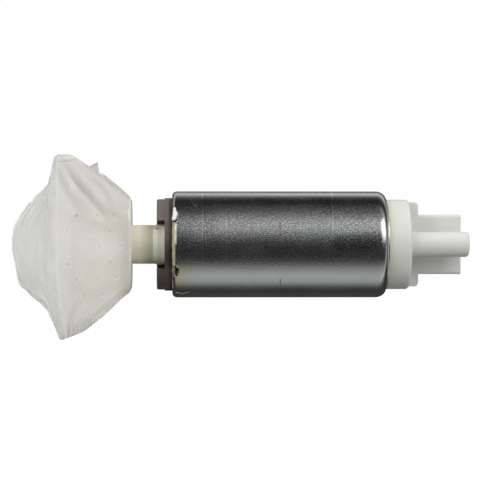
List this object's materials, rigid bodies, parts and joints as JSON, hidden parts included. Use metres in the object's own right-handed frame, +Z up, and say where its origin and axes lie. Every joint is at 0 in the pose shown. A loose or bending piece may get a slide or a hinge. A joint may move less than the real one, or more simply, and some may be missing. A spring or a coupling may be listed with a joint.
{
  "type": "in-tank fuel pump",
  "caption": "Electric in-tank fuel pump: plated steel shell, brown inlet cover with a fabric strainer, white outlet cap with hose nipple and connector.",
  "frame": {"origin": "on the pump's axis, halfway along the steel shell", "axes": "+X along the pump towards the outlet, -Y to the side with the hose nipple, +Z up as in the picture"},
  "size_m": [0.1619, 0.0564, 0.0664],
  "materials": {
    "shell_steel": "bright zinc plate on drawn steel, satin with fine scratches",
    "cover_phenolic": "moulded brown phenolic, matte",
    "acetal_white": "moulded natural acetal, soft gloss",
    "nylon_cream": "moulded natural nylon, satin",
    "sock_fabric": "white woven filter cloth, fine twill",
    "impeller_phenolic": "moulded dark phenolic, ground faces",
    "black_moulding": "moulded black glass-filled resin, matte",
    "hard_steel": "ground hardened steel, bright",
    "lamination_steel": "stacked electrical steel, dull",
    "spring_steel": "drawn spring steel, bright",
    "copper": "copper, bright",
    "bronze": "sintered bronze, dull",
    "tinned_brass": "tin-plated brass, bright",
    "ferrite": "sintered ferrite, dark matte",
    "carbon": "carbon brush, dull black",
    "seal_rubber": "black fuel-proof rubber"
  },
  "bodies": {
    "pump": {"pump_shell": "shell_steel", "inlet_cover": "cover_phenolic", "inlet_stub": "acetal_white", "strainer_ferrule": "nylon_cream", "strainer_sock": "sock_fabric", "strainer_spreader": "nylon_cream", "pump_housing": "cover_phenolic", "thrust_button": "hard_steel", "lower_bush": "bronze", "upper_bush": "bronze", "magnet_a": "ferrite", "magnet_b": "ferrite", "magnet_clip_a": "spring_steel", "magnet_clip_b": "spring_steel", "brush_holder": "black_moulding", "brush_spring_a": "spring_steel", "brush_spring_b": "spring_steel", "brush_lead_a": "copper", "brush_lead_b": "copper", "choke_core_a": "ferrite", "choke_core_b": "ferrite", "choke_coil_a": "copper", "choke_coil_b": "copper", "terminal_a": "tinned_brass", "terminal_b": "tinned_brass", "outlet_cap": "acetal_white", "cap_seal": "seal_rubber", "check_seat": "bronze", "check_spring": "spring_steel", "check_retainer": "black_moulding", "relief_spring": "spring_steel", "relief_plug": "bronze"},
    "rotor": {"shaft": "hard_steel", "impeller": "impeller_phenolic", "armature_core": "lamination_steel", "armature_windings": "copper", "commutator_hub": "black_moulding", "commutator_bars": "copper"},
    "upper_brush": {"brush_a": "carbon"},
    "lower_brush": {"brush_b": "carbon"},
    "outlet_check": {"check_poppet": "acetal_white"},
    "pressure_relief": {"relief_ball": "hard_steel"}
  },
  "joints": [
    {"name": "rotor_spin", "type": "hinge", "parent": "pump", "child": "rotor", "pos_m": [0, 0, 0], "axis": [1, 0, 0], "continuous": true},
    {"name": "upper_brush_slide", "type": "slide", "parent": "pump", "child": "upper_brush", "axis": [1, 0, 0], "range_m": [0, 0.0015], "stiffness_N_per_m": 250, "springref_m": -0.004, "deforming": ["brush_spring_a", "brush_lead_a"]},
    {"name": "lower_brush_slide", "type": "slide", "parent": "pump", "child": "lower_brush", "axis": [1, 0, 0], "range_m": [0, 0.0015], "stiffness_N_per_m": 250, "springref_m": -0.004, "deforming": ["brush_spring_b", "brush_lead_b"]},
    {"name": "check_lift", "type": "slide", "parent": "pump", "child": "outlet_check", "axis": [1, 0, 0], "range_m": [0, 0.002], "stiffness_N_per_m": 150, "springref_m": -0.003, "deforming": ["check_spring"]},
    {"name": "relief_lift", "type": "slide", "parent": "pump", "child": "pressure_relief", "axis": [1, 0, 0], "range_m": [0, 0.0012], "stiffness_N_per_m": 1000, "springref_m": -0.0025, "deforming": ["relief_spring"]}
  ]
}
